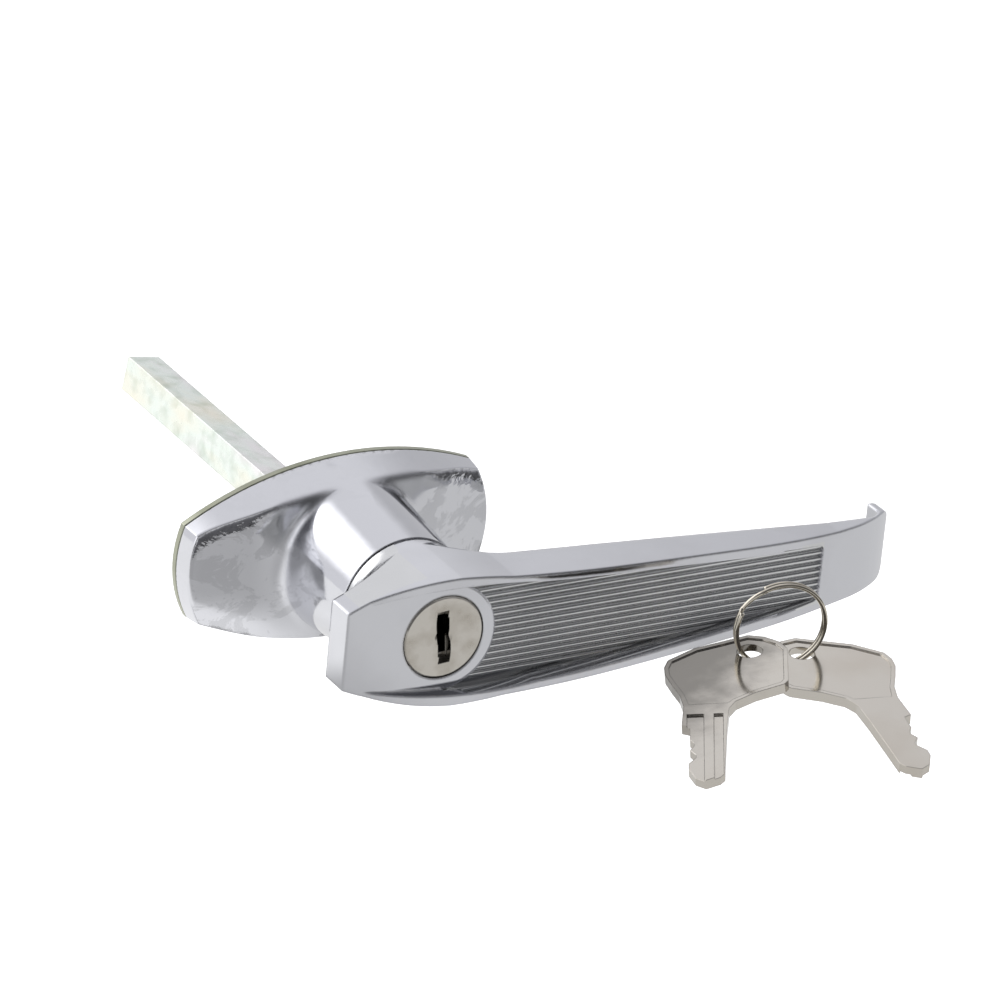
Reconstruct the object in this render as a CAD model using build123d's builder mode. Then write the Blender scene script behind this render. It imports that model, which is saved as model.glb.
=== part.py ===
"""Swing handle lock: a locking lever handle on a boat-shaped escutcheon, with its keys.

Frame, in millimetres: the origin is where the spindle's axis meets the mounting face.
+Y runs along the spindle into the door, +X along the escutcheon, +Z up. `depth` is the
distance in front of the mounting face, so a point at some depth has y = -depth.
Turns are clockwise seen from the front.
"""

import os
from math import cos, pi, radians, sin

from build123d import *

# ---------------------------------------------------------------- driving dimensions
rest_turn = 5.1  # the lever hangs this much below the escutcheon's long axis
spindle_turn = 13.6  # the square spindle's flats
quarter_turn = 90.0

# escutcheon and its back plate
plate_thickness = 1.5
corner_x = 35.1
corner_z = 11.2
end_x = 37.5
middle_z = 19.4
wall_draft = 6.5
wing_depth = 7.4
root_depth = 11.6
root_x = 18.5
wing_round = 0.9
seam_chamfer = 0.4
boss_radius = 15.2
boss_depth = 36.2
boss_base_x = 17.2
boss_base_z = 19.2
boss_base_depth = 6.0
boss_cove = 3.4
wing_roof = 2.2
wing_wall = 2.6
post_radius = 4.9
post_gap = 0.15
insert_radius = 3.4
fixing_centres = 50.0
fixing_radius = 2.5
fixing_length = 8.0
rivet_radius = 1.5
rivet_z = 16.6
rivet_length = 5.5
rivet_flare = 0.7
plate_bore_radius = 8.0

# lever shank and what holds it in the escutcheon
bore_radius = 11.0
running_gap = 0.06
shank_tail = 2.3
pocket_radius = 14.4
pocket_depth = 7.0
washer_thickness = 1.0
cone_height = 1.2
cone_thickness = 0.5
circlip_thickness = 1.2
circlip_radius = 13.6
circlip_root = 9.9
groove_play = 0.1
thrust_thickness = 0.4
thrust_inset = 0.6

# lever
head_end_x = 23.8
head_end_z = 9.0
head_side = (12.0, 13.2)
head_half = 15.1
head_mid_x = 1.5
cheek = (8.0, 14.75)
flank = (60.0, 11.45)
taper_x = 14.0
taper_z = 14.1
taper_end_x = 100.0
taper_end_z = 8.8
tip_x = 118.1
tip_z = 8.3
tip_corner = 2.5
neck_length = 1.4
neck_fillet = 9.0
lever_thickness = 7.5
arch_x = 18.5
arch_rises = ((-5.0, 2.4), (10.0, 3.8), (30.0, 4.5), (60.0, 2.8), (90.0, -0.4), (105.0, -3.9))
nose_drop = 11.1
hook_drop = 14.1
hook_thickness = 3.4
hook_radius = 3.6
collar_radius = 15.0

# ribbed panel sunk in the lever's front
panel_end_x = 95.7
panel_end_z = 6.3
panel_mid_z = 12.4
panel_waist = (22.0, 11.5)
panel_flank = (58.0, 9.3)
panel_start_x = 21.0
panel_start_z = 9.7
panel_corner = 1.6
panel_draft = 5.0
floor_drop = 1.4
floor_tip_drop = 2.9
land_radius = 12.5
rib_pitch = 1.53
rib_radius = 0.62
rib_sink = 0.12
rib_count = 15

# lock cylinder
plug_proud = 0.1
head_radius = 9.5
head_thickness = 3.0
head_gap = 0.25
head_bevel = 0.3
plug_radius = 7.5
plug_gap = 0.06
plug_play = 0.6
plug_tail = 1.6
sleeve_radius = 9.4
sleeve_gap = 0.05
slot_width = 2.8
slot_height = 12.3
keyway_height = 9.0
keyway_floor = 3.6
dimple_radius = 2.2
dimple_depth = 1.2
clip_thickness = 0.6
clip_radius = 8.7
clip_root = 6.6
wafer_count = 5
wafer_pitch = 2.6
wafer_inset = 4.6
wafer_thickness = 1.0
wafer_width = 6.3
wafer_height = 13.2
wafer_travel = 0.8
wafer_gap = 0.06
lug_reach = 1.4
lug_height = 2.0
spring_radius = 0.36
spring_wire = 0.11
spring_turns = 4
spring_facets = 8
spring_foot = 5.0
sleeve_pin_radius = 1.25
sleeve_pin_rise = 4.4

# lock bolt, driven by an eccentric pin in the plug's tail
eccentric = 2.0
drive_radius = 1.2
drive_press = 3.0
bolt_back = 18.4
bolt_thickness = 5.0
bolt_width = 9.4
bolt_nose = 5.0
bolt_tip = 10.6
bolt_shoulder = 6.2
bolt_tail = 5.0
bolt_play = 0.3
bolt_slot_x = 6.8
bolt_slot_z = 3.6
bolt_gap = 0.06
bay_play = 1.0

# spindle
spindle_side = 8.0
spindle_reach = 92.5
spindle_top = 14.6
spindle_chamfer = 0.8
socket_gap = 0.08
cross_radius = 1.5
cross_depth = 10.0
cross_half = 9.6

# keys and their ring
key_thickness = 2.3
key_panel = 0.3
key_groove = 0.45
key_corner = 1.2
key_length = 30.0
groove_top = 5.6
key_hole = (9.0, 31.4)
key_hole_radius = 2.8
left_key_place = (35.82, -105.57, -7.54)
right_key_place = (72.36, -117.82, -9.26)
ring_place = (66.09, -84.02, 0.0)
ring_radius = 10.5
ring_wire = 0.5

# depths that follow from the sizes above, from the escutcheon out to the lever's face
collar_depth = boss_depth + thrust_thickness
neck_depth = collar_depth + neck_length
lever_back = neck_depth + neck_fillet
face_depth = lever_back + lever_thickness
floor_depth = face_depth - floor_drop
floor_tip_depth = face_depth - floor_tip_drop
plug_face = face_depth + plug_proud
head_back = plug_face - head_thickness
bolt_front = bolt_back + bolt_thickness
plug_back = bolt_front + plug_play
sleeve_back = plug_back + plug_tail
sleeve_pin_depth = sleeve_back + sleeve_pin_rise

os.makedirs("parts", exist_ok=True)


# ---------------------------------------------------------------- placing planes
def front(depth, turn=0.0):
    """Plane facing the viewer at a depth: x along the lever, y up, z out of the door."""
    a = radians(turn)
    return Plane(origin=(0, -depth, 0), x_dir=(cos(a), 0, -sin(a)), z_dir=(0, -1, 0))


def profile(turn=0.0):
    """Plane through the spindle's axis: x along the lever, y is the depth."""
    a = radians(turn)
    return Plane(origin=(0, 0, 0), x_dir=(cos(a), 0, -sin(a)), z_dir=(-sin(a), 0, -cos(a)))


def save(part, label):
    part.label = label
    export_step(part, f"parts/{label}.step")


# ---------------------------------------------------------------- plan outlines
with BuildSketch() as boat:
    with BuildLine():
        for s in (1, -1):
            ThreePointArc((-corner_x, s * corner_z), (0, s * middle_z), (corner_x, s * corner_z))
            ThreePointArc((s * corner_x, corner_z), (s * end_x, 0), (s * corner_x, -corner_z))
    make_face()

with BuildSketch() as posts:
    with Locations((-fixing_centres / 2, 0), (fixing_centres / 2, 0)):
        Circle(post_radius)

with BuildSketch() as inserts:
    with Locations((-fixing_centres / 2, 0), (fixing_centres / 2, 0)):
        Circle(insert_radius)

with BuildSketch() as rivets:
    with Locations((0, -rivet_z), (0, rivet_z)):
        Circle(rivet_radius)

with BuildSketch() as lever_plan:
    with BuildLine():
        for s in (1, -1):
            widest = (head_mid_x, s * head_half)
            taper = (taper_x, s * taper_z)
            taper_end = (taper_end_x, s * taper_end_z)
            ThreePointArc((-head_end_x, s * head_end_z), (-head_side[0], s * head_side[1]), widest)
            ThreePointArc(widest, (cheek[0], s * cheek[1]), taper)
            ThreePointArc(taper, (flank[0], s * flank[1]), taper_end)
            Line(taper_end, (tip_x, s * tip_z))
        Line((-head_end_x, head_end_z), (-head_end_x, -head_end_z))
        Line((tip_x, tip_z), (tip_x, -tip_z))
    make_face()
    fillet(lever_plan.vertices().sort_by(Axis.X)[-2:], tip_corner)

with BuildSketch() as panel_plan:
    with BuildLine():
        for s in (1, -1):
            waist = (panel_waist[0], s * panel_waist[1])
            flare = (panel_flank[0], s * panel_flank[1])
            ThreePointArc((-panel_start_x, s * panel_start_z), (0, s * panel_mid_z), waist)
            ThreePointArc(waist, flare, (panel_end_x, s * panel_end_z))
        Line((-panel_start_x, panel_start_z), (-panel_start_x, -panel_start_z))
        Line((panel_end_x, panel_end_z), (panel_end_x, -panel_end_z))
    make_face()
    fillet(panel_plan.vertices().sort_by(Axis.X)[-2:], panel_corner)

# ---------------------------------------------------------------- escutcheon
with BuildPart() as walls:
    with BuildSketch(front(plate_thickness)):
        add(boat.sketch)
    extrude(amount=boss_depth - plate_thickness, taper=wall_draft)

with BuildPart() as boss:
    with BuildSketch(front(boss_base_depth)):
        Ellipse(boss_base_x, boss_base_z)
    with BuildSketch(front(boss_depth)):
        Circle(boss_radius)
    loft(ruled=True)
    with BuildSketch(front(plate_thickness)):
        Ellipse(boss_base_x, boss_base_z)
    extrude(amount=boss_base_depth - plate_thickness)
    add(walls.part, mode=Mode.INTERSECT)

with BuildPart() as cove:
    with BuildSketch(profile()):
        with BuildLine():
            cove_x = boss_base_x - 0.7
            foot = (cove_x + boss_cove, root_depth - 0.3)
            top = (cove_x, root_depth + boss_cove)
            bend = boss_cove * (1 - cos(radians(45)))
            ThreePointArc(foot, (cove_x + bend, foot[1] + bend), top)
            Polyline(top, (0, top[1]), (0, plate_thickness), (foot[0], plate_thickness), foot)
        make_face()
    revolve(axis=Axis.Y, revolution_arc=360)
    add(walls.part, mode=Mode.INTERSECT)

with BuildPart() as escutcheon:
    with BuildSketch(profile()):
        with BuildLine():
            outer_x = end_x + 2
            crest = [(outer_x, wing_depth), (30.5, wing_depth + 0.6), (24.0, root_depth - 1.3)]
            crest += [(root_x, root_depth), (12.0, root_depth + 1.1)]
            mirrored = [(-x, depth) for x, depth in reversed(crest)]
            Spline(*crest, *mirrored)
            Polyline(mirrored[-1], (-outer_x, plate_thickness), (outer_x, plate_thickness), crest[0])
        make_face()
    extrude(amount=end_x, both=True)
    add(walls.part, mode=Mode.INTERSECT)
    rim = [
        e for e in escutcheon.edges()
        if e.center().Y < -wing_depth + 1.0 and e.geom_type != GeomType.LINE
    ]
    fillet(rim, wing_round)
    add(boss.part)
    add(cove.part)
    chamfer(escutcheon.faces().sort_by(Axis.Y)[-1].outer_wire().edges(), seam_chamfer)
    # hollow wings, closed by the back plate, with a post for each fixing
    with BuildSketch(front(plate_thickness)):
        add(boat.sketch)
        offset(amount=-wing_wall)
        Circle(boss_base_x, mode=Mode.SUBTRACT)
        add(posts.sketch, mode=Mode.SUBTRACT)
    extrude(amount=wing_depth - wing_roof - plate_thickness, mode=Mode.SUBTRACT)
    # the posts reach through the back plate to the door, each with a threaded insert
    with BuildSketch(front(0)):
        add(posts.sketch)
    extrude(amount=plate_thickness)
    with BuildSketch(front(0)):
        add(inserts.sketch)
    extrude(amount=fixing_length, mode=Mode.SUBTRACT)
    # running bore and the pocket for the retaining stack
    with BuildSketch(front(0)):
        Circle(bore_radius)
    extrude(amount=boss_depth + 1, mode=Mode.SUBTRACT)
    with BuildSketch(front(0)):
        Circle(pocket_radius)
    extrude(amount=pocket_depth, mode=Mode.SUBTRACT)
    # bays for the lock bolt, a quarter turn apart, the first with play for the hang
    bay_reach = bolt_tip + eccentric + 0.7
    for bay_turn in (0, rest_turn, quarter_turn):
        with BuildSketch(front(bolt_back - 0.3, bay_turn)):
            with Locations((0, bay_reach / 2)):
                Rectangle(bolt_nose + bay_play, bay_reach)
        extrude(amount=bolt_thickness + 0.6, mode=Mode.SUBTRACT)
    # blind holes for the rivets that hold the back plate
    with BuildSketch(front(plate_thickness)):
        add(rivets.sketch)
    extrude(amount=rivet_length - plate_thickness, mode=Mode.SUBTRACT)
save(escutcheon.part, "escutcheon")

with BuildPart() as back_plate:
    with BuildSketch(front(0)):
        add(boat.sketch)
        Circle(plate_bore_radius, mode=Mode.SUBTRACT)
        with Locations((-fixing_centres / 2, 0), (fixing_centres / 2, 0)):
            Circle(post_radius + post_gap, mode=Mode.SUBTRACT)
        add(rivets.sketch, mode=Mode.SUBTRACT)
    extrude(amount=plate_thickness)
    rivet_rims = back_plate.edges().filter_by(GeomType.CIRCLE).group_by(Axis.Y)[-1]
    rivet_rims = [e for e in rivet_rims if abs(e.radius - rivet_radius) < 0.01]
    chamfer(rivet_rims, rivet_flare)
save(back_plate.part, "back_plate")

for label, x in (("insert_left", -fixing_centres / 2), ("insert_right", fixing_centres / 2)):
    with BuildPart() as insert:
        with BuildSketch(front(0)):
            with Locations((x, 0)):
                Circle(insert_radius)
                Circle(fixing_radius, mode=Mode.SUBTRACT)
        extrude(amount=fixing_length)
    save(insert.part, label)

with BuildPart() as plate_rivets:
    with BuildSketch(front(0)):
        add(rivets.sketch)
    extrude(amount=rivet_length)
    for z in (-rivet_z, rivet_z):
        with BuildSketch(Plane(origin=(0, 0, z), x_dir=(1, 0, 0), z_dir=(0, -1, 0))):
            Circle(rivet_radius + rivet_flare)
        extrude(amount=rivet_flare, taper=45)
save(plate_rivets.part, "plate_rivets")

# ---------------------------------------------------------------- lever
shank_radius = bore_radius - running_gap
clip_front = pocket_depth - washer_thickness - cone_height
clip_back = clip_front - circlip_thickness

with BuildPart() as lever_prism:
    with BuildSketch(front(shank_tail, rest_turn)):
        add(lever_plan.sketch)
    extrude(amount=face_depth + 10)

with BuildPart() as hub:
    with BuildSketch(profile(rest_turn)):
        with BuildLine():
            flare_x = collar_radius + neck_fillet
            bend = neck_fillet * (1 - cos(radians(45)))
            start = (collar_radius, neck_depth)
            bend_point = (collar_radius + bend, lever_back - bend)
            ThreePointArc(start, bend_point, (flare_x, lever_back))
            Polyline((flare_x, lever_back), (flare_x, face_depth - 2), (0, face_depth - 2))
            Polyline((0, face_depth - 2), (0, collar_depth), (collar_radius, collar_depth), start)
        make_face()
    revolve(axis=Axis.Y, revolution_arc=360)
    add(lever_prism.part, mode=Mode.INTERSECT)

# ribs lie along the panel's gently falling floor
floor_fall = (floor_depth - floor_tip_depth) / panel_end_x
along = Vector(cos(radians(rest_turn)), floor_fall, -sin(radians(rest_turn)))
rib_plane = Plane(
    origin=(0, -floor_depth, 0), x_dir=(sin(radians(rest_turn)), 0, cos(radians(rest_turn))),
    z_dir=along,
)

with BuildPart() as ribs:
    with BuildSketch(rib_plane):
        with GridLocations(rib_pitch, 0, rib_count, 1):
            with Locations((0, rib_sink)):
                Circle(rib_radius)
    extrude(amount=panel_end_x + 0.2)
    with BuildSketch(front(floor_tip_depth - 3, rest_turn)):
        add(panel_plan.sketch)
    extrude(amount=8, taper=-panel_draft, mode=Mode.INTERSECT)

with BuildPart() as sunk:
    with BuildSketch(profile(rest_turn)):
        tip_floor = floor_depth - floor_fall * (panel_end_x + 2)
        Polygon(
            (0, floor_depth), (panel_end_x + 2, tip_floor), (panel_end_x + 2, face_depth + 0.5),
            (0, face_depth + 0.5), align=None,
        )
    extrude(amount=head_half, both=True)
    with BuildSketch(front(floor_tip_depth - 3, rest_turn)):
        add(panel_plan.sketch)
    extrude(amount=8, taper=-panel_draft, mode=Mode.INTERSECT)
    with BuildSketch(front(0)):
        Circle(land_radius)
    extrude(amount=face_depth + 5, mode=Mode.SUBTRACT)

nose_depth = face_depth - nose_drop
hook_depth = face_depth - hook_drop
with BuildPart() as handle:
    with BuildSketch(profile(rest_turn)):
        with BuildLine():
            arch = Spline((-arch_x, face_depth), *[(x, face_depth + rise) for x, rise in arch_rises])
            nose = TangentArc(arch @ 1, (tip_x, nose_depth), tangent=arch % 1)
            hook_x = tip_x - hook_thickness
            bend_x = hook_x - hook_radius
            bend = hook_radius * cos(radians(45))
            hook_top = lever_back - hook_radius
            Polyline((tip_x, nose_depth), (tip_x, hook_depth), (hook_x, hook_depth), (hook_x, hook_top))
            ThreePointArc((hook_x, hook_top), (bend_x + bend, hook_top + bend), (bend_x, lever_back))
            Polyline(
                (bend_x, lever_back), (-head_end_x - 1, lever_back),
                (-head_end_x - 1, face_depth), (-arch_x, face_depth),
            )
        make_face()
    extrude(amount=head_half + 5, both=True)
    add(lever_prism.part, mode=Mode.INTERSECT)
    add(hub.part)
    # sunk panel: down to the land round the lock, then to the ribbed floor
    with BuildSketch(front(face_depth, rest_turn)):
        add(panel_plan.sketch)
    extrude(amount=8, taper=-panel_draft, mode=Mode.SUBTRACT)
    add(sunk.part, mode=Mode.SUBTRACT)
    add(ribs.part)
    # shank
    with BuildSketch(front(shank_tail)):
        Circle(shank_radius)
    extrude(amount=lever_back - shank_tail)
    # bore for the lock cylinder, its head a step wider
    with BuildSketch(front(bolt_front)):
        Circle(sleeve_radius + sleeve_gap)
    extrude(amount=face_depth - bolt_front + 10, mode=Mode.SUBTRACT)
    with BuildSketch(front(head_back - 0.1)):
        Circle(head_radius + head_gap)
    extrude(amount=10, mode=Mode.SUBTRACT)
    # guide for the lock bolt and the window for its nose
    guide_top = bolt_shoulder + eccentric + bolt_play
    guide_foot = bolt_tail + bolt_play
    with BuildSketch(front(bolt_back - bolt_gap, rest_turn)):
        with Locations((0, (guide_top - guide_foot) / 2)):
            Rectangle(bolt_width + 2 * bolt_gap, guide_top + guide_foot)
        with Locations((0, bore_radius / 2)):
            Rectangle(bolt_nose + 2 * bolt_gap, bore_radius + 1)
    extrude(amount=bolt_thickness + 2 * bolt_gap, mode=Mode.SUBTRACT)
    # hole for the pin that keeps the lock cylinder's sleeve
    with BuildSketch(Plane(origin=(0, -sleeve_pin_depth, 0), x_dir=(1, 0, 0), z_dir=(0, 0, -1))):
        Circle(sleeve_pin_radius)
    extrude(amount=bore_radius + 1, mode=Mode.SUBTRACT)
    # socket for the spindle, and its cross pin
    with BuildSketch(front(0, spindle_turn)):
        Rectangle(spindle_side + 2 * socket_gap, spindle_side + 2 * socket_gap)
    extrude(amount=spindle_top + 0.2, mode=Mode.SUBTRACT)
    with BuildSketch(profile(spindle_turn)):
        with Locations((0, cross_depth)):
            Circle(cross_radius)
    extrude(amount=bore_radius + 1, both=True, mode=Mode.SUBTRACT)
    # groove for the circlip
    with BuildSketch(front(clip_back - groove_play)):
        Circle(shank_radius + 1)
        Circle(circlip_root - groove_play, mode=Mode.SUBTRACT)
    extrude(amount=circlip_thickness + groove_play, mode=Mode.SUBTRACT)
save(handle.part, "handle")

# ---------------------------------------------------------------- lock cylinder
sleeve_bore = plug_radius + plug_gap
groove_reach = sleeve_bore + wafer_travel + 0.3
lug_edge = wafer_width / 2 + lug_reach
wafer_depths = [head_back - wafer_inset - i * wafer_pitch for i in range(wafer_count)]

with BuildPart() as lock_sleeve:
    with BuildSketch(front(sleeve_back)):
        Circle(sleeve_radius)
    extrude(amount=head_back - 0.05 - sleeve_back)
    # grooves that take the wafers where the key comes out
    with BuildSketch(front(sleeve_back)):
        Circle(sleeve_bore)
        with Locations((0, groove_reach / 2)):
            Rectangle(wafer_width + 0.5, groove_reach)
        with Locations((groove_reach / 2, 0)):
            Rectangle(groove_reach, wafer_width + 0.5)
    extrude(amount=head_back - sleeve_back, mode=Mode.SUBTRACT)
    with BuildSketch(Plane(origin=(0, -sleeve_pin_depth, 0), x_dir=(1, 0, 0), z_dir=(0, 0, -1))):
        Circle(sleeve_pin_radius)
    extrude(amount=bore_radius, mode=Mode.SUBTRACT)
save(lock_sleeve.part, "lock_sleeve")

with BuildPart() as sleeve_pin:
    with BuildSketch(Plane(origin=(0, -sleeve_pin_depth, -sleeve_bore - 0.2), z_dir=(0, 0, -1))):
        Circle(sleeve_pin_radius)
    extrude(amount=bore_radius - sleeve_bore - 0.6)
save(sleeve_pin.part, "sleeve_pin")

with BuildPart() as lock_plug:
    with BuildSketch(front(plug_back)):
        Circle(plug_radius)
    extrude(amount=head_back - plug_back)
    with BuildSketch(front(head_back)):
        Circle(head_radius)
    extrude(amount=head_thickness)
    bevel = lock_plug.edges().filter_by(GeomType.CIRCLE).sort_by(Axis.Y)[0]
    chamfer(bevel, head_bevel)
    # dimple and curved key slot in the face, keyway behind
    with BuildSketch(profile()):
        Polygon((0, plug_face + 0.01), (dimple_radius, plug_face + 0.01),
                (0, plug_face - dimple_depth), align=None)
    revolve(axis=Axis.Y, revolution_arc=360, mode=Mode.SUBTRACT)
    with BuildSketch(front(plug_face - 2.0)):
        with BuildLine():
            slot_x = slot_width / 2
            slot_z = slot_height / 2
            for s in (1, -1):
                Line((-slot_x, s * slot_z), (slot_x, s * slot_z))
                ThreePointArc((s * slot_x, slot_z), (s * slot_x - 0.35, slot_z / 2), (s * slot_x, 0))
                ThreePointArc((s * slot_x, 0), (s * slot_x + 0.35, -slot_z / 2), (s * slot_x, -slot_z))
        make_face()
    extrude(amount=3, mode=Mode.SUBTRACT)
    with BuildSketch(front(plug_back + keyway_floor)):
        Rectangle(slot_width, keyway_height)
    extrude(amount=plug_face - plug_back - keyway_floor, mode=Mode.SUBTRACT)
    # wafer slots, each with a pocket for the wafer's lug and spring
    for depth in wafer_depths:
        with BuildSketch(front(depth - wafer_gap)):
            Rectangle(wafer_width + 2 * wafer_gap, 2 * plug_radius + 1)
            with Locations((lug_edge / 2, (lug_height / 2 + wafer_travel - spring_foot) / 2)):
                Rectangle(lug_edge + 2 * wafer_gap, lug_height / 2 + wafer_travel + spring_foot + 0.1)
        extrude(amount=wafer_thickness + 2 * wafer_gap, mode=Mode.SUBTRACT)
    # groove for the clip on the tail, hole for the eccentric pin
    with BuildSketch(front(sleeve_back - clip_thickness - groove_play)):
        Circle(plug_radius + 1)
        Circle(clip_root - groove_play, mode=Mode.SUBTRACT)
    extrude(amount=clip_thickness + groove_play, mode=Mode.SUBTRACT)
    with BuildSketch(front(plug_back, rest_turn)):
        with Locations((-eccentric, 0)):
            Circle(drive_radius)
    extrude(amount=drive_press, mode=Mode.SUBTRACT)
save(lock_plug.part, "lock_plug")

with BuildPart() as plug_clip:
    with BuildSketch(front(sleeve_back - clip_thickness)):
        Circle(clip_radius)
        Circle(clip_root, mode=Mode.SUBTRACT)
        with Locations((0, -clip_radius)):
            Rectangle(4, 2 * clip_radius - 4, mode=Mode.SUBTRACT)
    extrude(amount=clip_thickness)
save(plug_clip.part, "plug_clip")

with BuildPart() as drive_pin:
    with BuildSketch(front(bolt_back + 0.1, rest_turn)):
        with Locations((-eccentric, 0)):
            Circle(drive_radius)
    extrude(amount=plug_back + drive_press - bolt_back - 0.1)
save(drive_pin.part, "drive_pin")

for i, depth in enumerate(wafer_depths):
    cut = 0.3 * (i % 3 - 1)  # each wafer's window sits at its own height
    with BuildPart() as wafer:
        with BuildSketch(front(depth)):
            Rectangle(wafer_width, wafer_height)
            with Locations((lug_edge / 2, 0)):
                Rectangle(lug_edge, lug_height)
            with Locations((0, cut)):
                Rectangle(slot_width + 0.2, keyway_height + 0.8, mode=Mode.SUBTRACT)
        extrude(amount=wafer_thickness)
    save(wafer.part, f"wafer_{i + 1}")

spring_length = spring_foot - lug_height / 2 - 2 * spring_wire
spring_x = wafer_width / 2 + lug_reach / 2
with BuildPart() as wafer_springs:
    for depth in wafer_depths:
        middle = depth + wafer_thickness / 2
        foot = -spring_foot + spring_wire
        steps = [i / spring_facets for i in range(spring_turns * spring_facets + 1)]
        points = [
            (spring_x + spring_radius * cos(2 * pi * t), -middle + spring_radius * sin(2 * pi * t),
             foot + spring_length * t / spring_turns)
            for t in steps
        ]
        with BuildLine() as coil:
            Polyline(*points)
        with BuildSketch(Plane(origin=coil.line @ 0, z_dir=coil.line % 0)):
            RegularPolygon(spring_wire, 4)
        sweep(path=coil.line, transition=Transition.RIGHT)
save(wafer_springs.part, "wafer_springs")

# ---------------------------------------------------------------- lock bolt
with BuildPart() as locking_bolt:
    with BuildSketch(front(bolt_back, rest_turn)):
        with Locations((0, (bolt_shoulder - bolt_tail) / 2)):
            Rectangle(bolt_width, bolt_shoulder + bolt_tail)
        with Locations((0, bolt_tip / 2)):
            Rectangle(bolt_nose, bolt_tip)
    extrude(amount=bolt_thickness)
    tip_edges = locking_bolt.edges().filter_by(Axis.Y).sort_by(Axis.Z)[-2:]
    chamfer(tip_edges, 0.4)
    with BuildSketch(front(bolt_back, rest_turn)):
        Rectangle(bolt_slot_x, bolt_slot_z)
    extrude(amount=bolt_thickness, mode=Mode.SUBTRACT)
save(locking_bolt.part, "locking_bolt")

# ---------------------------------------------------------------- spindle and retaining stack
with BuildPart() as spindle:
    with BuildSketch(Plane(origin=(0, -spindle_top, 0), x_dir=front(0, spindle_turn).x_dir,
                           z_dir=(0, 1, 0))):
        Rectangle(spindle_side, spindle_side)
    extrude(amount=spindle_top + spindle_reach)
    chamfer(spindle.faces().sort_by(Axis.Y)[-1].edges(), spindle_chamfer)
    with BuildSketch(profile(spindle_turn)):
        with Locations((0, cross_depth)):
            Circle(cross_radius)
    extrude(amount=spindle_side, both=True, mode=Mode.SUBTRACT)
save(spindle.part, "spindle")

with BuildPart() as spindle_pin:
    with BuildSketch(profile(spindle_turn)):
        with Locations((0, cross_depth)):
            Circle(cross_radius)
    extrude(amount=cross_half, both=True)
save(spindle_pin.part, "spindle_pin")

with BuildPart() as thrust_washer:
    with BuildSketch(front(boss_depth)):
        Circle(collar_radius - thrust_inset)
        Circle(bore_radius, mode=Mode.SUBTRACT)
    extrude(amount=thrust_thickness)
save(thrust_washer.part, "thrust_washer")

with BuildPart() as rear_washer:
    with BuildSketch(front(pocket_depth - washer_thickness)):
        Circle(pocket_radius - 0.3)
        Circle(bore_radius, mode=Mode.SUBTRACT)
    extrude(amount=washer_thickness)
save(rear_washer.part, "rear_washer")

with BuildPart() as cone_washer:
    with BuildSketch(profile()):
        cone_rise = cone_height - cone_thickness
        outer_x = circlip_radius
        Polygon(
            (bore_radius, clip_front), (outer_x, clip_front + cone_rise),
            (outer_x, clip_front + cone_height), (bore_radius, clip_front + cone_thickness),
            align=None,
        )
    revolve(axis=Axis.Y, revolution_arc=360)
save(cone_washer.part, "cone_washer")

with BuildPart() as circlip:
    with BuildSketch(front(clip_back)):
        Circle(circlip_radius)
        Circle(circlip_root, mode=Mode.SUBTRACT)
        with Locations((0, -circlip_radius)):
            Rectangle(5, circlip_radius, mode=Mode.SUBTRACT)
    extrude(amount=circlip_thickness)
save(circlip.part, "circlip")

# ---------------------------------------------------------------- keys and their ring
with BuildSketch() as key_plan:
    with BuildLine():
        Polyline(
            (-9.2, 22.2), (-9.4, 25.2), (-8.6, 28.2), (-2.9, 32.9), (2.5, 35.1), (8.6, 37.6),
            (12.2, 36.7), (15.4, 34.4), (17.1, 31.4), (17.1, 18.2), (16.2, 16.7), (10.0, 13.6),
            (5.8, 10.4), (4.4, 7.6), (3.9, 0.5), (3.3, -17.9), (2.3, -19.4), (-0.7, -21.0),
            (-2.9, -19.4), (-4.3, -15.8), (-4.3, -13.6), (-2.7, -11.2), (-2.7, -10.2),
            (-4.0, -8.2), (-3.1, -6.6), (-3.1, -5.6), (-4.0, -4.0), (-4.0, 0.6), (-5.7, 1.4),
            (-5.3, 9.0), (-6.1, 13.6), (-7.8, 18.0), close=True,
        )
    make_face()
    bow_corners = [v for v in key_plan.vertices() if v.Y > 7]
    fillet(bow_corners, key_corner)

with BuildSketch() as key_panel_plan:
    with BuildLine():
        Polyline(
            (-8.2, 22.3), (-8.4, 25.1), (-7.7, 27.7), (-2.3, 32.0), (2.9, 34.1), (8.6, 36.5),
            (11.8, 35.7), (14.6, 33.7), (16.1, 31.1), (16.1, 18.7), (15.4, 17.5), (9.5, 14.5),
            (5.1, 11.1), (4.2, 9.8), (-4.2, 9.6), (-5.1, 13.8), (-6.8, 18.2), close=True,
        )
    make_face()
    fillet(key_panel_plan.vertices(), key_corner / 2)


def key_plane(stop, tip_dir, wide_dir):
    """Plane in the middle of a key's thickness, its origin where the blade meets the stop."""
    return Plane(origin=stop, x_dir=wide_dir, z_dir=Vector(*wide_dir).cross(-Vector(*tip_dir)))


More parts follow.
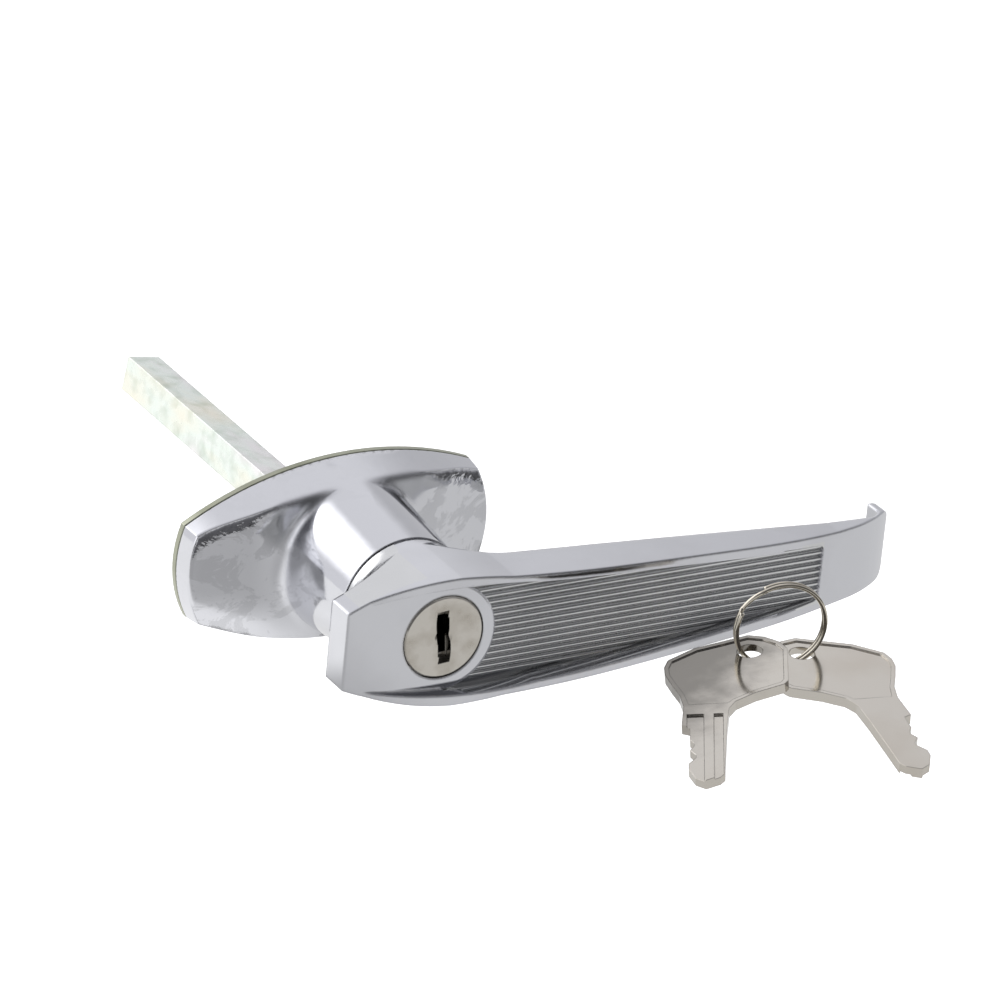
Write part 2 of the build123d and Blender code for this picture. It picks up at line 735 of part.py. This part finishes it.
key_planes = {
    "key_left": key_plane(left_key_place, (-0.5006, -0.8647, -0.0425), (0.8624, -0.5024, 0.062)),
    "key_right": key_plane(right_key_place, (-0.2322, -0.9724, -0.0254), (-0.9719, 0.231, 0.0446)),
}
for label, middle in key_planes.items():
    with BuildPart() as key:
        with BuildSketch(middle):
            add(key_plan.sketch)
        extrude(amount=key_thickness / 2, both=True)
        for side in (1, -1):
            face = middle.offset(side * key_thickness / 2)
            with BuildSketch(face):
                add(key_panel_plan.sketch)
            extrude(amount=-side * key_panel, mode=Mode.SUBTRACT)
        # two grooves along one face of the blade, then the hole for the ring
        with BuildSketch(middle.offset(key_thickness / 2)):
            for x, width in ((-2.8, 3.6), (2.1, 2.0)):
                with Locations((x, groove_top - key_length / 2)):
                    Rectangle(width, key_length)
        extrude(amount=-key_groove, mode=Mode.SUBTRACT)
        with BuildSketch(middle):
            with Locations(key_hole):
                Circle(key_hole_radius)
        extrude(amount=key_thickness, both=True, mode=Mode.SUBTRACT)
    save(key.part, label)

# split ring: two turns of wire side by side
ring_turns = Plane(origin=ring_place, x_dir=(0, 0, 1), z_dir=(-0.2169, -0.9761, -0.0153))
ring_section = Plane(origin=ring_turns.origin, x_dir=ring_turns.x_dir, z_dir=ring_turns.y_dir)
with BuildPart() as key_ring:
    with BuildSketch(ring_section):
        with Locations((ring_radius - ring_wire, -ring_wire + 0.02), (ring_radius - ring_wire, ring_wire - 0.02)):
            Circle(ring_wire)
    revolve(axis=Axis(ring_turns.origin, ring_turns.z_dir), revolution_arc=360)
save(key_ring.part, "key_ring")
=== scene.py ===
"""Looks of the swing handle lock: chrome castings, zinc spindle, nickel lock and keys.

Lengths are in metres. +Y runs into the door, +X towards the lever's tip and +Z up.
"""
from math import cos, pi, radians, sin

import bmesh
import bpy
from mathutils import Matrix, Vector


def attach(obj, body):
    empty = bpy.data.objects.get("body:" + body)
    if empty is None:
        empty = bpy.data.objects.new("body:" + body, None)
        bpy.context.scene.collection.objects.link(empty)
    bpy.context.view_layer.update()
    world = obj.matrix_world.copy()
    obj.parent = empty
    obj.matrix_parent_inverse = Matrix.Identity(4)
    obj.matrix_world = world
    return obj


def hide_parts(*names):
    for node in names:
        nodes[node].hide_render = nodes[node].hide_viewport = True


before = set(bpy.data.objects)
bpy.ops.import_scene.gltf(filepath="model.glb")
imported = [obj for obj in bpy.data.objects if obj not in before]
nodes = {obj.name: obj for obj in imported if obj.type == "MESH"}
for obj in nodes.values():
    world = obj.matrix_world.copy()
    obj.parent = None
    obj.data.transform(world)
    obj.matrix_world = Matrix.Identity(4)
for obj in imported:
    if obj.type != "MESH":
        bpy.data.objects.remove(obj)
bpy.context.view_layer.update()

# lever: it hangs a little below level, and its sunk panel narrows towards the tip
REST_TURN = radians(5.1)
PANEL_MOUTH = -0.0542  # just behind the lever's front face
PANEL_START = -0.02115
PANEL_END = 0.09585
PANEL_HALF_WIDTH = 0.0142
PANEL_TAPER = 0.07

# escutcheon: the arcs of its long sides, and the root of its boss
WING_ARC_RADIUS = 0.0792
WING_ARC_CENTRE = 0.0598
ROOT_RADIUS = (0.022, 0.026)
ROOT_DEPTH = (-0.020, -0.015)
CLEAR_OF_BOSS = (0.017, 0.024)

# polish: how coarse and how strong its ripple is, and how far a face may lean and still look forward
RIPPLE_SCALE = 120.0
RIPPLE_STRENGTH = 0.35
BEVEL_SAMPLES = 6
FORWARD_LEAN = (-0.75, -0.55)


# ------------------------------------------------------------------ wiring of the materials
class Wiring:
    """One node tree, with short ways to add its nodes and to join them."""

    def __init__(self, tree):
        self.nodes, self.links = tree.nodes, tree.links

    def add(self, kind):
        return self.nodes.new("ShaderNode" + kind)

    def join(self, value, socket):
        """Links another node's output to the socket, or sets a number or vector on it."""
        if isinstance(value, bpy.types.NodeSocket):
            self.links.new(value, socket)
        else:
            socket.default_value = value

    def maths(self, operation, *values):
        node = self.add("Math")
        node.operation = operation
        for socket, value in zip(node.inputs, values):
            self.join(value, socket)
        return node.outputs["Value"]

    def vector_maths(self, operation, first, second, name="Vector"):
        """Combines a vector or colour with a second one, or with a number for SCALE."""
        node = self.add("VectorMath")
        node.operation = operation
        self.join(first, node.inputs[0])
        self.join(second, node.inputs["Scale"] if operation == "SCALE" else node.inputs[1])
        return node.outputs[name]

    def step(self, value, start, end, low=0.0, high=1.0, kind="SMOOTHSTEP"):
        """`low` up to `start`, `high` from `end` on, and a soft change between them."""
        node = self.add("MapRange")
        node.interpolation_type = kind
        for name, number in zip(("From Min", "From Max", "To Min", "To Max"), (start, end, low, high)):
            node.inputs[name].default_value = number
        self.join(value, node.inputs["Value"])
        return node.outputs["Result"]

    def ramp(self, share, stops):
        node = self.add("ValToRGB")
        while len(node.color_ramp.elements) < len(stops):
            node.color_ramp.elements.new(0.5)
        for element, (place, colour) in zip(node.color_ramp.elements, stops):
            element.position = place
            element.color = (*colour, 1.0)
        self.join(share, node.inputs["Fac"])
        return node.outputs["Color"]

    def coordinates(self, kind):
        """The X, Y and Z of one kind of texture coordinate."""
        parts = self.add("SeparateXYZ")
        self.join(self.add("TexCoord").outputs[kind], parts.inputs["Vector"])
        return parts.outputs["X"], parts.outputs["Y"], parts.outputs["Z"]

    def noise(self, scale, detail=4.0, stretch=(1, 1, 1), grain=0.5, warp=0.0):
        mapping = self.add("Mapping")
        mapping.inputs["Scale"].default_value = stretch
        self.join(self.add("TexCoord").outputs["Object"], mapping.inputs["Vector"])
        noise = self.add("TexNoise")
        settings = {"Scale": scale, "Detail": detail, "Roughness": grain, "Distortion": warp}
        for name, number in settings.items():
            noise.inputs[name].default_value = number
        self.join(mapping.outputs["Vector"], noise.inputs["Vector"])
        return noise.outputs["Fac"]

    def choose(self, share, otherwise, chosen):
        """Mixes two shaders, the second where `share` is 1."""
        node = self.add("MixShader")
        self.join(share, node.inputs["Fac"])
        self.join(otherwise, node.inputs[1])
        self.join(chosen, node.inputs[2])
        return node.outputs["Shader"]


def opened(mat):
    """A material's wiring and its shader."""
    return Wiring(mat.node_tree), mat.node_tree.nodes["Principled BSDF"]


def new_material(name):
    mat = bpy.data.materials.new(name)
    mat.use_nodes = True
    return mat, *opened(mat)


# ------------------------------------------------------------------ finishes
def plated_metal(name, colour, dull, rough, hazy, edge=0.0003, cloud_size=55.0, haze=(0.45, 0.75),
                 wave=0.00006):
    """Clean plate with cloudy patches that are duller and rougher, a soft ripple and broken edges."""
    mat, wiring, shader = new_material(name)
    shader.inputs["Metallic"].default_value = 1.0
    cloud = wiring.noise(cloud_size, detail=6.0)
    wiring.join(wiring.ramp(cloud, [(haze[0], colour), (haze[1], dull)]), shader.inputs["Base Color"])
    wiring.join(wiring.step(cloud, *haze, rough, hazy, kind="LINEAR"), shader.inputs["Roughness"])
    worn_edge = wiring.add("Bevel")
    worn_edge.name = "worn_edge"
    worn_edge.samples = BEVEL_SAMPLES
    worn_edge.inputs["Radius"].default_value = edge
    ripple = wiring.add("Bump")
    ripple.name = "ripple"
    ripple.inputs["Strength"].default_value = RIPPLE_STRENGTH
    ripple.inputs["Distance"].default_value = wave
    wiring.join(wiring.noise(RIPPLE_SCALE, detail=1.0), ripple.inputs["Height"])
    wiring.join(worn_edge.outputs["Normal"], ripple.inputs["Normal"])
    wiring.join(ripple.outputs["Normal"], shader.inputs["Normal"])
    return mat


def tint_colour(mat, share, tints):
    """Multiplies the plate's colour by a tint picked by a share from 0 to 1."""
    wiring, shader = opened(mat)
    colour = shader.inputs["Base Color"]
    plain = colour.links[0].from_socket
    wiring.join(wiring.vector_maths("MULTIPLY", plain, wiring.ramp(share, tints)), colour)


def darken(mat, film_and_painted_shade):
    """Scales the plate's colour by a share of painted shade, 1 where the plate is left unshaded."""
    wiring, shader = opened(mat)
    colour = shader.inputs["Base Color"]
    wiring.join(wiring.vector_maths("SCALE", colour.links[0].from_socket, film_and_painted_shade), colour)


def finish_lever(mat, inside, outside, dulled, film_and_painted_shade):
    """The lever's outer edges are polished round; its sunk panel keeps crisp ribs under a dull film."""
    wiring, shader = opened(mat)
    maths = wiring.maths
    x, y, z = wiring.coordinates("Object")
    along = maths("SUBTRACT", maths("MULTIPLY", x, cos(REST_TURN)), maths("MULTIPLY", z, sin(REST_TURN)))
    across = maths("ADD", maths("MULTIPLY", x, sin(REST_TURN)), maths("MULTIPLY", z, cos(REST_TURN)))
    reach = maths("ADD", maths("ABSOLUTE", across), maths("MULTIPLY", along, PANEL_TAPER))
    within = maths("LESS_THAN", reach, PANEL_HALF_WIDTH)
    sunk = maths("GREATER_THAN", y, PANEL_MOUTH)
    from_middle = maths("ABSOLUTE", maths("SUBTRACT", along, (PANEL_START + PANEL_END) / 2))
    lengthwise = maths("LESS_THAN", from_middle, (PANEL_END - PANEL_START) / 2)
    ribbed = maths("MULTIPLY", lengthwise, maths("MULTIPLY", within, sunk))
    wiring.join(wiring.step(ribbed, 0.0, 1.0, outside, inside), wiring.nodes["worn_edge"].inputs["Radius"])
    roughness = shader.inputs["Roughness"]
    cloudy = roughness.links[0].from_socket
    wiring.join(maths("MAXIMUM", cloudy, maths("MULTIPLY", ribbed, dulled)), roughness)
    tint_colour(mat, ribbed, [(0.0, (1.0, 1.0, 1.0)), (1.0, film_and_painted_shade)])


def looks_forward(wiring, clean):
    """1 on faces that look forward, falling to `clean` on walls."""
    lean = wiring.coordinates("Normal")[1]
    return wiring.step(lean, *FORWARD_LEAN, 1.0, clean)


def stain_front_faces(mat, colour, stained, rough, hazy):
    """Jagged water stains on the faces that look forward; the walls stay almost clean."""
    wall_share, speck_share = 0.12, 0.8
    wiring, shader = opened(mat)
    blot_cloud = wiring.noise(80.0, detail=14.0, stretch=(1.0, 1.0, 1.6), grain=0.68, warp=0.8)
    blot = wiring.step(blot_cloud, 0.50, 0.55)
    speck = wiring.step(wiring.noise(420.0, detail=3.0), 0.66, 0.72, 0.0, speck_share)
    patch = wiring.maths("MAXIMUM", blot, speck)
    share = wiring.maths("MULTIPLY", patch, looks_forward(wiring, wall_share))
    wiring.join(wiring.ramp(share, [(0.0, colour), (1.0, stained)]), shader.inputs["Base Color"])
    wiring.join(wiring.step(share, 0.0, 1.0, rough, hazy), shader.inputs["Roughness"])


def blend_into_boss(mat, sharp, soft):
    """Wide soft fillets where the boss grows out of the wings, broken edges elsewhere."""
    wiring = opened(mat)[0]
    maths = wiring.maths
    x, y, z = wiring.coordinates("Object")
    from_axis = maths("SQRT", maths("ADD", maths("MULTIPLY", x, x), maths("MULTIPLY", z, z)))
    near_root = maths("MULTIPLY", wiring.step(from_axis, *ROOT_RADIUS, 1.0, 0.0), wiring.step(y, *ROOT_DEPTH))
    wiring.join(wiring.step(near_root, 0.0, 1.0, sharp, soft), wiring.nodes["worn_edge"].inputs["Radius"])


def roll_wing_edges(mat, width, drop):
    """Polishing rolls the wings' faces down towards the outline over a few millimetres."""
    wander_scale, wander = 260.0, 0.0014
    wiring = opened(mat)[0]
    maths = wiring.maths
    x, y, z = wiring.coordinates("Object")
    uneven = maths("MULTIPLY", maths("SUBTRACT", wiring.noise(wander_scale), 0.5), wander)
    height = maths("ADD", maths("ABSOLUTE", z), WING_ARC_CENTRE)
    from_centre = maths("SQRT", maths("ADD", maths("MULTIPLY", x, x), maths("MULTIPLY", height, height)))
    from_edge = maths("ADD", uneven, maths("SUBTRACT", WING_ARC_RADIUS, from_centre))
    near = maths("MAXIMUM", maths("SUBTRACT", width, from_edge), 0.0)
    fall = maths("MULTIPLY", maths("MULTIPLY", near, near), -drop / width ** 2)
    clear_of_boss = wiring.step(maths("ABSOLUTE", x), *CLEAR_OF_BOSS)
    rolled = maths("MULTIPLY", looks_forward(wiring, 0.0), clear_of_boss)
    roll = wiring.add("Bump")
    roll.inputs["Strength"].default_value = 1.0
    roll.inputs["Distance"].default_value = 1.0
    wiring.join(maths("MULTIPLY", fall, rolled), roll.inputs["Height"])
    wiring.join(wiring.nodes["worn_edge"].outputs["Normal"], roll.inputs["Normal"])
    wiring.join(roll.outputs["Normal"], wiring.nodes["ripple"].inputs["Normal"])


def tint_passivation(mat, tints):
    """Faint rainbow of a passivated zinc coat, in soft bands of tint."""
    tint_colour(mat, opened(mat)[0].noise(70.0, detail=3.0, stretch=(1.0, 0.5, 1.0)), tints)


def paint_dark_reflection(mat, start, end, share):
    """Painted dark reflection: darker towards the front of one piece, behind a slanted, cloudy border."""
    cloud_scale, wander, slant = 160.0, 0.02, 0.6
    wiring = opened(mat)[0]
    maths = wiring.maths
    x, y, z = wiring.coordinates("Object")
    uneven = maths("MULTIPLY", maths("SUBTRACT", wiring.noise(cloud_scale), 0.5), wander)
    line = maths("SUBTRACT", maths("ADD", y, uneven), maths("MULTIPLY", x, slant))
    darken(mat, wiring.step(line, start, end, 1.0, share))


def paint_keyway_shade(mat, face, unshaded_depth, dark_depth, share):
    """Painted shade in the keyway: the plug's colour darkens behind its face."""
    wiring = opened(mat)[0]
    depth = wiring.coordinates("Object")[1]
    darken(mat, wiring.step(depth, face + unshaded_depth, face + dark_depth, 1.0, share))


CHROME = (0.61, 0.615, 0.645)
NICKEL, DULL_NICKEL = (0.58, 0.55, 0.50), (0.54, 0.50, 0.44)

chrome = plated_metal("polished_chrome", CHROME, (0.57, 0.575, 0.60), 0.06, 0.14, edge=0.0005)
finish_lever(chrome, inside=0.00025, outside=0.0010, dulled=0.17, film_and_painted_shade=(1.03, 1.03, 0.99))
stained_chrome = plated_metal("stained_chrome", CHROME, (0.5, 0.505, 0.53), 0.07, 0.2)
stain_front_faces(stained_chrome, CHROME, (0.53, 0.535, 0.56), 0.07, 0.18)
blend_into_boss(stained_chrome, sharp=0.0005, soft=0.0030)
roll_wing_edges(stained_chrome, width=0.0058, drop=0.0017)
nickel = plated_metal("satin_nickel", NICKEL, DULL_NICKEL, 0.13, 0.24, wave=0.00004)
dark_reflection_nickel = plated_metal("dark_reflection_nickel", NICKEL, DULL_NICKEL, 0.13, 0.24, wave=0.00004)
# painted dark reflection on the left key: its colour is darkened across a slanted, cloudy border
paint_dark_reflection(dark_reflection_nickel, start=-0.132, end=-0.112, share=0.42)
# the lock plug's nickel carries painted shade deep in its keyway, behind the plug's face
keyway_shaded_nickel = plated_metal("keyway_shaded_nickel", (0.56, 0.535, 0.49), (0.46, 0.43, 0.38), 0.15, 0.30,
                              cloud_size=190.0, haze=(0.44, 0.70), wave=0.00004)
plug_face = min(corner.co.y for corner in nodes["lock_plug"].data.vertices)
paint_keyway_shade(keyway_shaded_nickel, plug_face, unshaded_depth=0.0013, dark_depth=0.0022, share=0.22)
zinc = plated_metal("zinc_spindle", (0.84, 0.84, 0.82), (0.66, 0.68, 0.63), 0.24, 0.42, cloud_size=260.0)
tint_passivation(zinc, [(0.35, (1.0, 0.97, 0.86)), (0.50, (0.93, 1.0, 0.96)), (0.65, (1.0, 0.96, 1.0))])
plate_zinc = plated_metal("zinc_plate", (0.36, 0.37, 0.29), (0.24, 0.25, 0.18), 0.30, 0.45, cloud_size=90.0)
steel = plated_metal("bright_steel", (0.56, 0.56, 0.56), (0.48, 0.48, 0.48), 0.22, 0.34)
brass = plated_metal("machined_brass", (0.78, 0.62, 0.33), (0.70, 0.53, 0.26), 0.22, 0.34, edge=0.0001)
dull_brass = plated_metal("dull_brass", (0.34, 0.28, 0.17), (0.26, 0.21, 0.12), 0.35, 0.50, edge=0.0001)
wire = plated_metal("ring_wire", (0.60, 0.56, 0.48), (0.52, 0.47, 0.38), 0.10, 0.18, edge=0.0001)

finishes = {
    "escutcheon": stained_chrome, "handle": chrome, "back_plate": plate_zinc, "spindle": zinc,
    "lock_plug": keyway_shaded_nickel, "key_left": dark_reflection_nickel, "key_right": nickel, "key_ring": wire,
    "lock_sleeve": brass, "locking_bolt": brass, "insert_left": brass, "insert_right": brass,
    "rear_washer": plate_zinc,
}
for name, piece in nodes.items():
    is_wafer = name.startswith("wafer_") and name[-1].isdigit()
    piece.data.materials.clear()
    piece.data.materials.append(finishes.get(name, dull_brass if is_wafer else steel))

# ------------------------------------------------------------------ split ring
RING_PLACE = Vector((0.06609, -0.08402, 0.0))
RING_AXIS = Vector((-0.2169, -0.9761, -0.0153)).normalized()
RING_RADIUS = 0.0100  # middle of the wire
WIRE_RADIUS = 0.00050
WIRE_SIDES = 20
FRONT_END = radians(62)  # where the front turn ends, from straight up
CROSS_OVER = radians(34)
END_GAP = radians(3)  # between a wire end and the cross-over
TURN_STEPS, CROSS_STEPS = 96, 12


def split_ring():
    """Two turns of wire side by side, crossing over once, each end cut square."""
    bm = bmesh.new()
    section = bmesh.ops.create_circle(bm, segments=WIRE_SIDES, radius=WIRE_RADIUS, cap_ends=True)["verts"]
    upward = Vector((0, 0, 1)) - RING_AXIS * RING_AXIS.z
    upward.normalize()
    sideways = RING_AXIS.cross(upward)
    outward = upward * cos(FRONT_END) + sideways * sin(FRONT_END)
    turn = Matrix((outward, RING_AXIS, outward.cross(RING_AXIS))).transposed().to_4x4()
    start = RING_PLACE + outward * RING_RADIUS + RING_AXIS * WIRE_RADIUS
    bmesh.ops.transform(bm, matrix=Matrix.Translation(start) @ turn, verts=section)
    tip = list(bm.faces)
    side_by_side = (2 * pi - CROSS_OVER - END_GAP, 0.0, TURN_STEPS)
    crossing = (CROSS_OVER, -2 * WIRE_RADIUS, CROSS_STEPS)
    for angle, shift, steps in (side_by_side, crossing, side_by_side):
        made = bmesh.ops.spin(bm, geom=tip, cent=RING_PLACE, axis=RING_AXIS, angle=angle, steps=steps,
                              dvec=RING_AXIS * (shift / steps))
        tip = [part for part in made["geom_last"] if isinstance(part, bmesh.types.BMFace)]
    bmesh.ops.remove_doubles(bm, verts=bm.verts, dist=1e-7)
    bmesh.ops.recalc_face_normals(bm, faces=bm.faces)
    for face in bm.faces:
        face.smooth = len(face.verts) == 4
    mesh = bpy.data.meshes.new("split_ring")
    bm.to_mesh(mesh)
    bm.free()
    ring = bpy.data.objects.new("split_ring", mesh)
    bpy.context.scene.collection.objects.link(ring)
    mesh.materials.append(wire)
    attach(ring, "keys")
    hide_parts("key_ring")


split_ring()

# ------------------------------------------------------------------ camera
AZIMUTH, RISE, ROLL = radians(-29.09), radians(26.89), radians(0.50)
DISTANCE = 1.5
AIM_RIGHT, AIM_UP = 0.03686, 0.00899

back = Vector((sin(AZIMUTH) * cos(RISE), -cos(AZIMUTH) * cos(RISE), sin(RISE)))
level = Vector((0, 0, 1)).cross(back).normalized()
upright = back.cross(level)
right = level * cos(ROLL) + upright * sin(ROLL)
up = upright * cos(ROLL) - level * sin(ROLL)
camera_data = bpy.data.cameras.new("camera")
camera_data.sensor_width = 36.0
camera_data.lens = 249.4
camera_data.clip_start = 0.05
camera_data.clip_end = 20.0
camera = bpy.data.objects.new("camera", camera_data)
place = Matrix((right, up, back)).transposed().to_4x4()
place.translation = right * AIM_RIGHT + up * AIM_UP + back * DISTANCE
camera.matrix_world = place
bpy.context.scene.collection.objects.link(camera)
bpy.context.scene.camera = camera

# ------------------------------------------------------------------ floor
FLOOR_SIZE = 6.0
FLOOR_HEIGHT = -0.125  # low enough for the lever to hang down
SHEET_PLACE = Vector((0.0, -0.005, -0.0197))
SHEET_TILT = Vector((0.022, 0.0696, 1.0))


def lay_card(name, centre, facing, material):
    """A flat square card turned to face a direction."""
    mesh = bpy.data.meshes.new(name)
    bm = bmesh.new()
    bmesh.ops.create_grid(bm, x_segments=1, y_segments=1, size=FLOOR_SIZE / 2)
    turn = facing.to_track_quat("Z", "Y").to_matrix().to_4x4()
    bmesh.ops.transform(bm, matrix=Matrix.Translation(centre) @ turn, verts=bm.verts)
    bm.to_mesh(mesh)
    bm.free()
    card = bpy.data.objects.new(name, mesh)
    bpy.context.scene.collection.objects.link(card)
    mesh.materials.append(material)


def glow_in_metal(wiring):
    """The floor as polished metal shows it: lit up to a line in front of the lock, dimmer beyond."""
    maths = wiring.maths
    plain, far, left_front, left_back = 0.80, 0.10, -0.20, 0.40
    x, y, z = wiring.coordinates("Object")
    toward_front_right = maths("SUBTRACT", maths("MULTIPLY", x, 0.6), maths("MULTIPLY", y, 0.8))
    lit = wiring.step(toward_front_right, 0.18, 0.27, 1.0, far)
    on_left = wiring.step(x, -0.030, 0.0, 1.0, 0.0)
    change = maths("MULTIPLY", on_left, wiring.step(y, -0.035, -0.015, left_front, left_back))
    strength = maths("MULTIPLY", lit, maths("ADD", plain, change))
    glow = wiring.add("Emission")
    wiring.join(strength, glow.inputs["Strength"])
    return glow.outputs["Emission"]


def pale_floor():
    """A plain floor that shows white under the lock's faint shadow."""
    mat, wiring, shader = new_material("pale_floor")
    shader.inputs["Base Color"].default_value = (0.86, 0.86, 0.86, 1)
    shader.inputs["Roughness"].default_value = 0.9
    shader.inputs["Specular IOR Level"].default_value = 0.0
    path = wiring.add("LightPath")
    glow = wiring.add("Emission")
    glow.inputs["Strength"].default_value = 0.62
    shown = wiring.add("AddShader")
    wiring.join(shader.outputs["BSDF"], shown.inputs[0])
    wiring.join(glow.outputs["Emission"], shown.inputs[1])
    in_metal = wiring.choose(path.outputs["Is Glossy Ray"], shader.outputs["BSDF"], glow_in_metal(wiring))
    surface = wiring.choose(path.outputs["Is Camera Ray"], in_metal, shown.outputs["Shader"])
    wiring.join(surface, wiring.nodes["Material Output"].inputs["Surface"])
    return mat


def reflected_sheet():
    """A sheet just under the lock that shows only in the polished metal above it."""
    mat, wiring, shader = new_material("reflected_sheet")
    wiring.nodes.remove(shader)
    from_above = wiring.maths("SUBTRACT", 1.0, wiring.add("NewGeometry").outputs["Backfacing"])
    in_metal = wiring.maths("MULTIPLY", wiring.add("LightPath").outputs["Is Glossy Ray"], from_above)
    clear = wiring.add("BsdfTransparent").outputs["BSDF"]
    surface = wiring.choose(in_metal, clear, glow_in_metal(wiring))
    wiring.join(surface, wiring.nodes["Material Output"].inputs["Surface"])
    return mat


lay_card("floor", Vector((0.0, 0.0, FLOOR_HEIGHT)), Vector((0.0, 0.0, 1.0)), pale_floor())
lay_card("reflected_sheet", SHEET_PLACE, SHEET_TILT, reflected_sheet())

# ------------------------------------------------------------------ room and light
world = bpy.data.worlds.new("studio")
bpy.context.scene.world = world
world.use_nodes = True
studio = Wiring(world.node_tree)
direction = studio.add("TexCoord").outputs["Generated"]
heading = studio.add("SeparateXYZ")
studio.join(direction, heading.inputs["Vector"])


def add_soft_lamp(room, toward, inner, outer, strength):
    """Adds a bright area round one direction, fading between two angles in degrees."""
    closeness = studio.vector_maths("DOT_PRODUCT", direction, Vector(toward).normalized(), name="Value")
    lamp = studio.step(closeness, cos(radians(outer)), cos(radians(inner)), 0.0, strength)
    return studio.vector_maths("ADD", room, lamp)


# bright wall behind the lock, dark room in front of it, dimmer on the right
behind_lock = studio.step(heading.outputs["Y"], -1.0, 1.0, kind="LINEAR")
walls = studio.ramp(behind_lock, [
    (0.0, (0.12, 0.12, 0.125)), (0.32, (0.20, 0.20, 0.21)), (0.60, (0.80, 0.80, 0.83)),
    (0.80, (0.97, 0.97, 1.0)), (1.0, (0.97, 0.97, 1.0)),
])
room = studio.vector_maths("SCALE", walls, studio.step(heading.outputs["X"], 0.45, 0.65, 1.0, 0.68))
room = add_soft_lamp(room, (-0.40, 0.78, 0.48), inner=10, outer=26, strength=1.6)
room = add_soft_lamp(room, (-0.95, 0.10, 0.30), inner=12, outer=30, strength=1.0)
studio.join(room, studio.nodes["Background"].inputs["Color"])
white = studio.add("Background")
white.inputs["Color"].default_value = (1, 1, 1, 1)
backdrop = studio.choose(studio.add("LightPath").outputs["Is Camera Ray"],
                         studio.nodes["Background"].outputs["Background"], white.outputs["Background"])
studio.join(backdrop, studio.nodes["World Output"].inputs["Surface"])
bpy.context.scene.view_settings.view_transform = "Standard"

SOFTBOX_PLACE = Vector((0.25, -0.15, 1.2))
SOFTBOX_AIM = Vector((0.03, -0.05, 0.0))
softbox = bpy.data.lights.new("overhead_softbox", "AREA")
softbox.energy = 4.0
softbox.size = 0.9
lamp = bpy.data.objects.new("overhead_softbox", softbox)
lamp.location = SOFTBOX_PLACE
lamp.rotation_euler = (SOFTBOX_PLACE - SOFTBOX_AIM).to_track_quat("Z", "Y").to_euler()
lamp.visible_glossy = False
bpy.context.scene.collection.objects.link(lamp)
